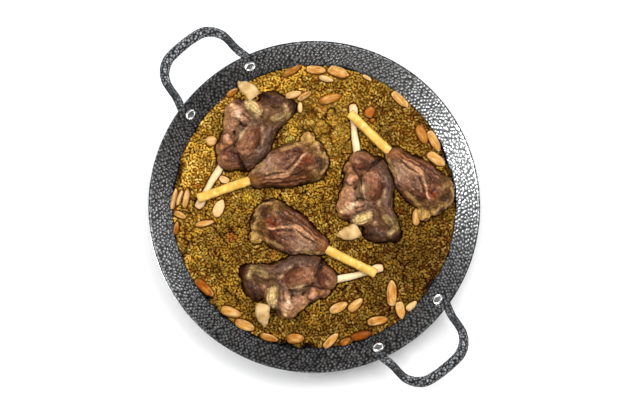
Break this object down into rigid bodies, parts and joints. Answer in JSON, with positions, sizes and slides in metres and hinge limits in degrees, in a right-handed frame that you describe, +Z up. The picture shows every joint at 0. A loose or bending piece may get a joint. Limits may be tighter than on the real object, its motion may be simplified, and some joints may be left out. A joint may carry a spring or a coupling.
{
  "type": "pan of freekeh with meat",
  "caption": "Round hammered pan with two loop handles, filled with cooked freekeh and topped with lamb pieces on the bone and toasted almond halves.",
  "frame": {"origin": "middle of the pan's flat underside", "axes": "+Z up, +X towards one handle, the other handle at -X"},
  "size_m": [0.483, 0.38, 0.0514],
  "materials": {
    "pan_steel": "dark, hammered all over in small dimples",
    "handle_steel": "dark, hammered bar on smooth forged legs",
    "rivet_steel": "polished dome heads",
    "freekeh": "moist golden to olive cooked grain",
    "lamb": "moist brown to purplish braised meat with pale gristle",
    "bone_white": "cooked bone",
    "bone_yellow": "cooked bone stained golden",
    "gristle": "smooth moist cartilage",
    "toasted_almond": "toasted blanched almond"
  },
  "bodies": {
    "root": {"pan": "pan_steel", "handle_1": "handle_steel", "handle_2": "handle_steel", "rivet_1": "rivet_steel", "rivet_2": "rivet_steel", "rivet_3": "rivet_steel", "rivet_4": "rivet_steel", "freekeh": "freekeh", "knuckle_a": "lamb", "shank_a": "lamb", "thin_bone_a": "bone_white", "shin_bone_a": "bone_yellow", "gristle_a": "gristle", "knuckle_b": "lamb", "shank_b": "lamb", "thin_bone_b": "bone_white", "shin_bone_b": "bone_yellow", "gristle_b": "gristle", "knuckle_c": "lamb", "shank_c": "lamb", "thin_bone_c": "bone_white", "shin_bone_c": "bone_yellow", "gristle_c": "gristle", "almond_01": "toasted_almond", "almond_02": "toasted_almond", "almond_03": "toasted_almond", "almond_04": "toasted_almond", "almond_05": "toasted_almond", "almond_06": "toasted_almond", "almond_07": "toasted_almond", "almond_08": "toasted_almond", "almond_09": "toasted_almond", "almond_10": "toasted_almond", "almond_11": "toasted_almond", "almond_12": "toasted_almond", "almond_13": "toasted_almond", "almond_14": "toasted_almond", "almond_15": "toasted_almond", "almond_16": "toasted_almond", "almond_17": "toasted_almond", "almond_18": "toasted_almond", "almond_19": "toasted_almond", "almond_20": "toasted_almond", "almond_21": "toasted_almond", "almond_22": "toasted_almond", "almond_23": "toasted_almond", "almond_24": "toasted_almond", "almond_25": "toasted_almond", "almond_26": "toasted_almond", "almond_27": "toasted_almond", "almond_28": "toasted_almond", "almond_29": "toasted_almond", "almond_30": "toasted_almond", "almond_31": "toasted_almond", "almond_32": "toasted_almond", "almond_33": "toasted_almond", "almond_34": "toasted_almond", "almond_35": "toasted_almond", "almond_36": "toasted_almond", "almond_37": "toasted_almond"}
  },
  "joints": []
}
